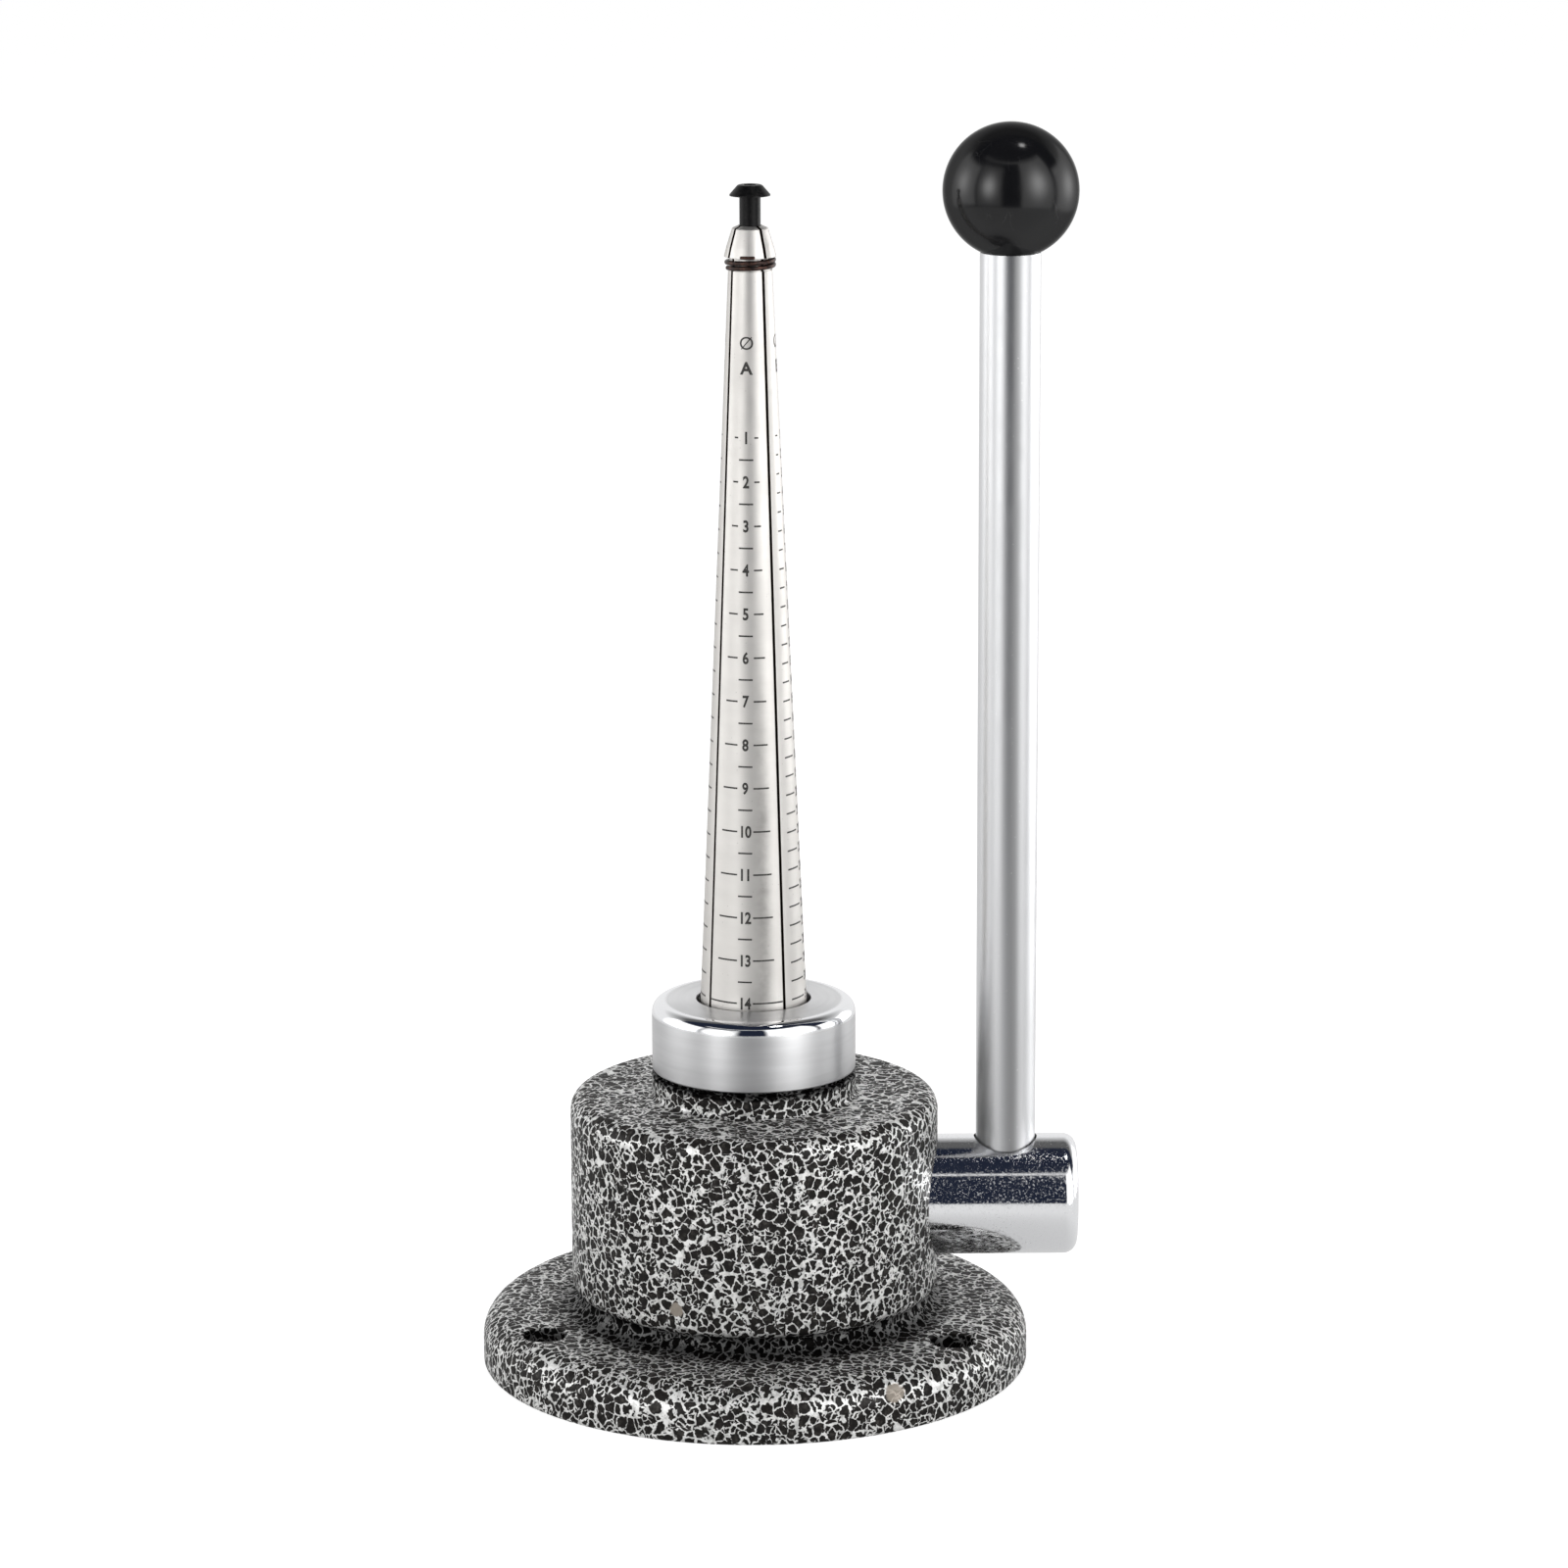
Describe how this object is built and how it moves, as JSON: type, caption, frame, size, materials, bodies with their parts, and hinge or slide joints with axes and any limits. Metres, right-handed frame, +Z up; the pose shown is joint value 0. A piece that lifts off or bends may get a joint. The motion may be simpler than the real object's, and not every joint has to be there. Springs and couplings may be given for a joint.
{
  "type": "ring stretcher",
  "caption": "Bench ring stretcher with a split tapered mandrel on a round flanged stand, spread by a side lever, an eccentric shaft and a wedge bar.",
  "frame": {"origin": "on the mandrel's axis, in the plane that the flange stands on", "axes": "+Z up the mandrel, +X towards the lever, -Y towards the user and the numbered face"},
  "size_m": [0.1308, 0.12, 0.2724],
  "materials": {
    "hammertone": "silver and black hammer paint",
    "aluminium": "fine turned and brushed",
    "jaw_steel": "satin ground",
    "chrome": "bright chrome plate",
    "black_ball": "polished",
    "black_oxide": "black oxide",
    "ring_wire": "dark coppered spring wire",
    "bronze": "plain bearing bronze",
    "plain_steel": "plain machined"
  },
  "bodies": {
    "stand": {"base_casting": "hammertone", "bottom_plate": "plain_steel", "bottom_plate_screws": "plain_steel", "guide_bush": "bronze", "shaft_bush_right": "bronze", "shaft_bush_left": "bronze", "thrust_washer": "plain_steel", "collar": "aluminium", "return_spring": "plain_steel", "foot_ring": "plain_steel", "jaw_ring": "ring_wire"},
    "lever": {"lever_shaft": "chrome", "shaft_circlip": "plain_steel", "lever_rod": "chrome", "lever_ball": "black_ball"},
    "bar": {"draw_bar": "plain_steel", "yoke": "plain_steel", "yoke_pin": "plain_steel", "bar_screw": "black_oxide"},
    "front_jaw": {"jaw_front": "jaw_steel"},
    "right_jaw": {"jaw_right": "jaw_steel"},
    "back_jaw": {"jaw_back": "jaw_steel"},
    "left_jaw": {"jaw_left": "jaw_steel"}
  },
  "joints": [
    {"name": "lever_turn", "type": "hinge", "parent": "stand", "child": "lever", "pos_m": [0, 0, 0.0368], "axis": [1, 0, 0], "range_deg": [0, 90]},
    {"name": "bar_slide", "type": "slide", "parent": "stand", "child": "bar", "axis": [0, 0, -1], "range_m": [0, 0.0055], "stiffness_N_per_m": 10000, "springref_m": -0.006, "deforming": ["return_spring"]},
    {"name": "jaw_front_slide", "type": "slide", "parent": "stand", "child": "front_jaw", "axis": [-0.1702, -0.9854, 0], "range_m": [0, 0.0006], "deforming": ["jaw_ring", "foot_ring"]},
    {"name": "jaw_right_slide", "type": "slide", "parent": "stand", "child": "right_jaw", "axis": [0.9854, -0.1702, 0], "range_m": [0, 0.0006], "deforming": ["jaw_ring", "foot_ring"]},
    {"name": "jaw_back_slide", "type": "slide", "parent": "stand", "child": "back_jaw", "axis": [0.1702, 0.9854, 0], "range_m": [0, 0.0006], "deforming": ["jaw_ring", "foot_ring"]},
    {"name": "jaw_left_slide", "type": "slide", "parent": "stand", "child": "left_jaw", "axis": [-0.9854, 0.1702, 0], "range_m": [0, 0.0006], "deforming": ["jaw_ring", "foot_ring"]}
  ],
  "couplings": [
    {"joint": "bar_slide", "follows": "lever_turn", "m_per_rad": 0.0035014},
    {"joint": "jaw_front_slide", "follows": "lever_turn", "m_per_rad": 0.00038197},
    {"joint": "jaw_right_slide", "follows": "lever_turn", "m_per_rad": 0.00038197},
    {"joint": "jaw_back_slide", "follows": "lever_turn", "m_per_rad": 0.00038197},
    {"joint": "jaw_left_slide", "follows": "lever_turn", "m_per_rad": 0.00038197}
  ]
}
